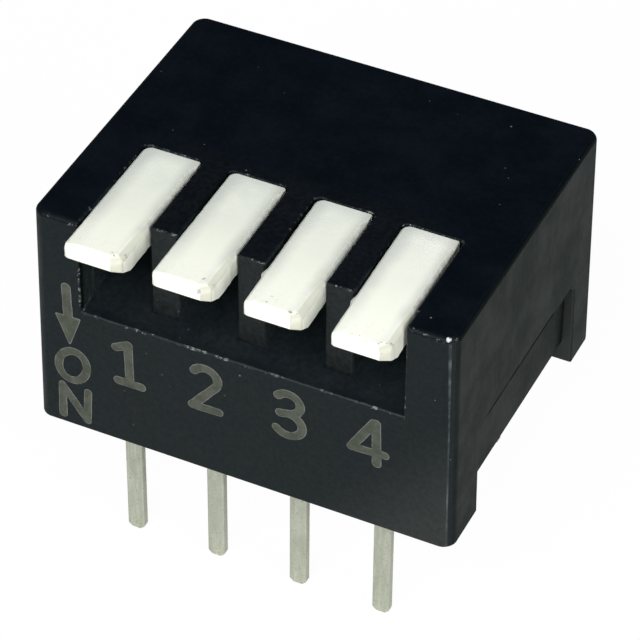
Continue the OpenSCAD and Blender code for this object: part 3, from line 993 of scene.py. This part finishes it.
def stroke_shapes(width, points, grow):
    """Outlines that cover a stroke, each with round ends, drawn in by grow."""
    shapes = []
    for run in stroke_runs(points):
        ways = [(b - a).normalized() for a, b in zip(run, run[1:])]
        ways = [ways[0]] + [(a + b).normalized() for a, b in zip(ways, ways[1:])] + [ways[-1]]
        right, left = [], []
        for point, way in zip(run, ways):
            out = stroke_reach(point, width / 2 - grow) * Vector((way.y, -way.x))
            right.append(point + out)
            left.append(point - out)
        ends = []
        for point, way in ((run[-1], ways[-1]), (run[0], -ways[0])):
            radius = stroke_reach(point, width / 2 - grow)
            middle = math.atan2(way.y, way.x)
            step = math.pi / 8
            first = math.floor((middle - math.pi / 2) / step) + 1
            ends.append([
                point + radius * Vector((math.cos(k * step), math.sin(k * step)))
                for k in range(first, first + 8) if k * step < middle + math.pi / 2 - 1e-3
            ])
        shapes.append(right + ends[0] + left[::-1] + ends[1])
    return shapes


def head_shape(corners, grow):
    """A triangle with slightly round corners, drawn in by grow."""
    corners = [Vector(c) for c in corners]
    ease = 0.04
    shape = []
    for before, corner, after in zip(corners[-1:] + corners, corners, corners[1:] + corners[:1]):
        one, two = (before - corner).normalized(), (after - corner).normalized()
        inward = (one + two).normalized()
        centre = corner + inward * (grow + ease) / math.sin(one.angle(two) / 2)
        away = math.atan2(-inward.y, -inward.x)
        shape += [centre + ease * Vector((math.cos(t), math.sin(t)))
                  for t in (away + math.radians(20 * k) for k in range(-3, 4))]
    return shape


def inside(point, shape, span):
    """True if a point is within an outline, whose lowest and highest corner are span."""
    if not (span[0] <= point.x <= span[2] and span[1] <= point.y <= span[3]):
        return False
    odd = False
    for a, b in zip(shape, shape[1:] + shape[:1]):
        if (a.y > point.y) != (b.y > point.y):
            if point.x < a.x + (b.x - a.x) * (point.y - a.y) / (b.y - a.y):
                odd = not odd
    return odd


def with_span(shape):
    """An outline, and its lowest and highest corner."""
    xs, ys = [p.x for p in shape], [p.y for p in shape]
    return shape, (min(xs), min(ys), max(xs), max(ys))


def marking_faces():
    """The strokes and the arrow's head cut into flat faces that don't overlap: the points, each
    face's points, and how many faces share each edge."""
    strokes, head = front_strokes()
    outer = [s for width, points in strokes for s in stroke_shapes(width, points, 0)]
    outer.append(head_shape(head, 0))
    inner = [s for width, points in strokes for s in stroke_shapes(width, points, RIM)]
    inner.append(head_shape(head, RIM))
    points, edges = [], []
    for shape in outer + inner:
        first = len(points)
        points += shape
        edges += [(first + k, first + (k + 1) % len(shape)) for k in range(len(shape))]
    found, _, faces, *_ = geometry.delaunay_2d_cdt(points, edges, [], 1, 1e-5)
    cover = [with_span(shape) for shape in outer]
    kept = []
    for face in faces:
        middle = sum((found[v] for v in face), Vector((0, 0))) / len(face)
        if any(inside(middle, *shape) for shape in cover):
            kept.append(list(face))
    shared = {}
    for face in kept:
        for a, b in zip(face, face[1:] + face[:1]):
            key = (min(a, b), max(a, b))
            shared[key] = shared.get(key, 0) + 1
    return found, kept, shared


def add_markings():
    """Thin solid marks on the front, with the attribute rim running up to one at their border."""
    found, kept, shared = marking_faces()
    border = {v for key, count in shared.items() if count == 1 for v in key}
    housing = cad_mesh("housing")
    front = max((f for f in housing.faces if f.normal.y < -0.99), key=lambda f: f.calc_area())
    normal, through = front.normal.copy(), front.verts[0].co.copy()
    housing.free()

    def on_front(point, height):
        x, z = point
        y = through.y - (normal.x * (x - through.x) + normal.z * (z - through.z)) / normal.y
        return Vector((x, y, z)) + height * normal

    work = bmesh.new()
    rim = work.verts.layers.float.new("rim")
    top, foot = {}, {}
    for v in sorted({v for face in kept for v in face}):
        top[v] = work.verts.new(on_front(found[v], 0.25 * RAISED if v in border else RAISED))
        top[v][rim] = 1.0 if v in border else 0.0
        foot[v] = work.verts.new(on_front(found[v], -BURIED))
        foot[v][rim] = 1.0
    for face in kept:
        work.faces.new([top[v] for v in face])
        work.faces.new([foot[v] for v in reversed(face)])
    for face in kept:
        for a, b in zip(face, face[1:] + face[:1]):
            if shared[(min(a, b), max(a, b))] == 1:
                work.faces.new((top[b], top[a], foot[a], foot[b]))
    bmesh.ops.recalc_face_normals(work, faces=work.faces)
    add_piece("front_markings", work, "body", "marking_print", marking("marking_print"))


# ---------------------------------------------------------------- stage

def add_camera():
    data = bpy.data.cameras.new("camera")
    data.lens = VIEW_LENS
    data.clip_start = 5 * MM
    data.clip_end = 5
    camera = bpy.data.objects.new("camera", data)
    bpy.context.scene.collection.objects.link(camera)
    back = Vector((
        math.sin(VIEW_AZIMUTH) * math.cos(VIEW_ELEVATION),
        -math.cos(VIEW_AZIMUTH) * math.cos(VIEW_ELEVATION),
        math.sin(VIEW_ELEVATION),
    ))
    right = Vector((math.cos(VIEW_AZIMUTH), math.sin(VIEW_AZIMUTH), 0))
    right = Matrix.Rotation(VIEW_ROLL, 3, back) @ right
    up = back.cross(right)
    camera.matrix_world = Matrix.Translation(
        AIM_RIGHT * right + AIM_UP * up + VIEW_DISTANCE * back
    ) @ Matrix((right, up, back)).transposed().to_4x4()
    bpy.context.scene.camera = camera


def add_light(name, place, size, power):
    """A square soft light that faces the middle of the object."""
    data = bpy.data.lights.new(name, "AREA")
    data.size = size
    data.energy = power
    light = bpy.data.objects.new(name, data)
    bpy.context.scene.collection.objects.link(light)
    light.location = place
    light.rotation_euler = Vector(place).to_track_quat("Z", "Y").to_euler()


def cleared(block):
    """Empties a block's node tree, and gives a function that adds a node with its inputs set."""
    block.use_nodes = True
    tree = block.node_tree
    tree.nodes.clear()

    def add(kind, *inputs, **settings):
        made = tree.nodes.new(kind)
        for name, value in settings.items():
            setattr(made, name, value)
        for key, value in inputs:
            if isinstance(value, bpy.types.NodeSocket):
                tree.links.new(value, made.inputs[key])
            else:
                made.inputs[key].default_value = value
        return made

    return add


def add_floor():
    """A floor that comes out white but keeps its shadow, because it is brighter to the camera."""
    bpy.ops.mesh.primitive_plane_add(size=3, location=(0, 0, cad_box[0].z))
    floor = bpy.context.object
    floor.name = "floor"
    floor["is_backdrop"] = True
    material = bpy.data.materials.new("floor")
    add = cleared(material)
    seen = add("ShaderNodeLightPath").outputs["Is Camera Ray"]
    shade = add("ShaderNodeMix", ("Factor", seen), (COLOR_1, (0.55, 0.56, 0.55, 1)),
                (COLOR_2, (0.93, 0.93, 0.93, 1)), data_type="RGBA")
    matte = add("ShaderNodeBsdfDiffuse", ("Color", shade.outputs[MIXED]))
    glow = add("ShaderNodeEmission", ("Strength", 1))
    share = add("ShaderNodeMath", (0, seen), (1, 0.97), operation="MULTIPLY")
    mix = add("ShaderNodeMixShader", (0, share.outputs[0]), (1, matte.outputs[0]),
              (2, glow.outputs[0]))
    add("ShaderNodeOutputMaterial", (0, mix.outputs[0]))
    floor.data.materials.append(material)


def add_world():
    """White to the camera, and a dim blue light on everything else."""
    world = bpy.data.worlds.new("world")
    bpy.context.scene.world = world
    add = cleared(world)
    seen = add("ShaderNodeLightPath").outputs["Is Camera Ray"]
    dim = add("ShaderNodeBackground", ("Color", (0.04, 0.055, 0.08, 1)))
    white = add("ShaderNodeBackground", ("Color", (1, 1, 1, 1)))
    mix = add("ShaderNodeMixShader", (0, seen), (1, dim.outputs[0]), (2, white.outputs[0]))
    add("ShaderNodeOutputWorld", (0, mix.outputs[0]))


def add_stage():
    add_floor()
    add_world()
    add_light("key", place=(0.02, -0.375, 0.31), size=0.30, power=3.05)
    add_light("fill", place=(0.412, -0.173, 0.18), size=0.30, power=1.75)
    bpy.context.scene.view_settings.view_transform = "Standard"


add_housing(measure_housing())
add_base()
add_levers()
add_pins()
dress_inner_parts()
add_markings()
add_camera()
add_stage()

boxes = {
    "cad": [list(corner) for corner in cad_box],
    "visual": [list(corner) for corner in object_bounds()],
}
